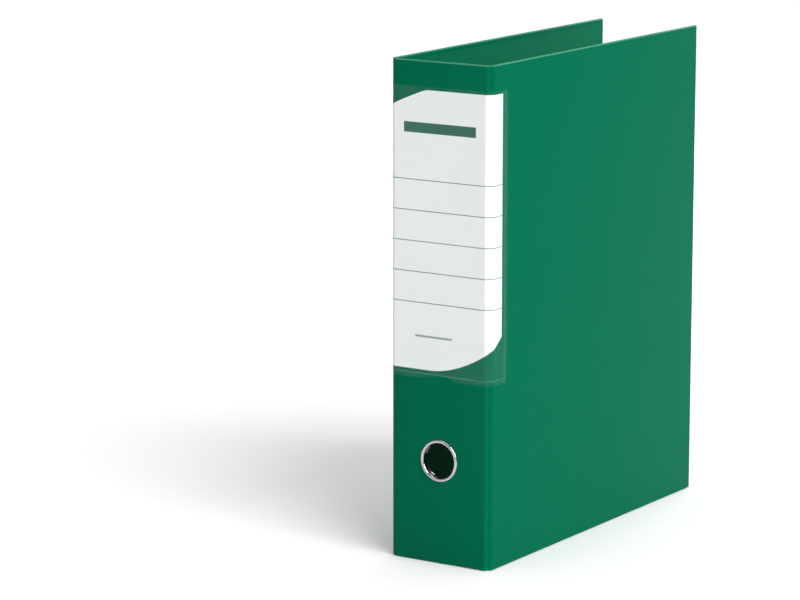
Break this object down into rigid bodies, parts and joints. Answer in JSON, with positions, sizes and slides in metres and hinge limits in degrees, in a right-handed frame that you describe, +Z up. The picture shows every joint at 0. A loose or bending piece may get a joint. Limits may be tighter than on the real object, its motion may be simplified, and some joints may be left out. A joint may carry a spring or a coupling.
{
  "type": "lever arch file",
  "caption": "Lever arch file standing closed: two green film-covered boards hinged to a wide spine with a finger ring and title pocket, and a chromed lever arch mechanism inside.",
  "frame": {"origin": "centre of the whole file's bottom, on the surface it stands on, midway between the covers' outsides and between the finger ring's face and the covers' free edges", "axes": "+Z up along the spine, -Y out through the spine, +X from the back cover, which carries the mechanism, to the front cover"},
  "size_m": [0.0834, 0.2862, 0.35],
  "materials": {
    "outer_film": "dark green polypropylene film with a fine embossed grain, semi-gloss",
    "lining": "dark green lining paper coated with film, satin",
    "greyboard": "uncoated grey board, hidden inside the film",
    "clear_pocket": "clear welded film, glossy",
    "title_card": "smooth white card with thin green ruled lines, matt",
    "chrome": "bright nickel-chrome plate on pressed steel and wire",
    "spring_steel": "bright spring steel, lightly brushed",
    "roller_plastic": "pale grey acetal, satin",
    "rivet_nickel": "nickel-plated steel, bright"
  },
  "bodies": {
    "spine": {"spine_board": "greyboard", "spine_wrap": "outer_film", "spine_lining": "lining", "front_hinge_film": "outer_film", "back_hinge_film": "outer_film", "label_pocket": "clear_pocket", "label_card": "title_card", "finger_ring": "chrome", "finger_ring_washer": "chrome"},
    "front_cover": {"front_board": "greyboard", "front_wrap": "outer_film", "front_lining": "lining", "pocket_front_flap": "clear_pocket", "label_front_flap": "title_card"},
    "back_cover": {"back_board": "greyboard", "back_wrap": "outer_film", "back_lining": "lining", "pocket_back_flap": "clear_pocket", "label_back_flap": "title_card", "base_plate": "chrome", "cover_rivets": "rivet_nickel", "lower_post": "chrome", "upper_post": "chrome", "arch_spring": "spring_steel", "lever_bracket": "chrome", "lever_pivot_pin": "chrome"},
    "arch": {"arch_wire": "chrome"},
    "lever": {"lever": "chrome", "roller_pin": "chrome"},
    "roller": {"roller": "roller_plastic"},
    "compressor": {"compressor_bar": "chrome", "compressor_clips": "spring_steel"}
  },
  "joints": [
    {"name": "front_cover_hinge", "type": "hinge", "parent": "spine", "child": "front_cover", "pos_m": [0.03992, -0.14064, 0.175], "axis": [0, 0, -1], "range_deg": [0, 180], "deforming": ["front_hinge_film"]},
    {"name": "back_cover_hinge", "type": "hinge", "parent": "spine", "child": "back_cover", "pos_m": [-0.03957, -0.14064, 0.175], "axis": [0, 0, 1], "range_deg": [0, 180], "deforming": ["back_hinge_film"]},
    {"name": "lever_turn", "type": "hinge", "parent": "back_cover", "child": "lever", "pos_m": [-0.02913, -0.0995, 0.171], "axis": [0, -1, 0], "range_deg": [0, 90]},
    {"name": "arch_turn", "type": "hinge", "parent": "back_cover", "child": "arch", "pos_m": [-0.03152, -0.1129, 0.175], "axis": [0, 0, -1], "range_deg": [0, 18]},
    {"name": "roller_spin", "type": "hinge", "parent": "lever", "child": "roller", "pos_m": [-0.02612, -0.0995, 0.154], "axis": [0, 1, 0], "continuous": true},
    {"name": "compressor_slide", "type": "slide", "parent": "back_cover", "child": "compressor", "axis": [1, 0, 0], "range_m": [0, 0.042]}
  ],
  "couplings": [
    {"joint": "arch_turn", "follows": "lever_turn", "ratio": 0.2}
  ]
}
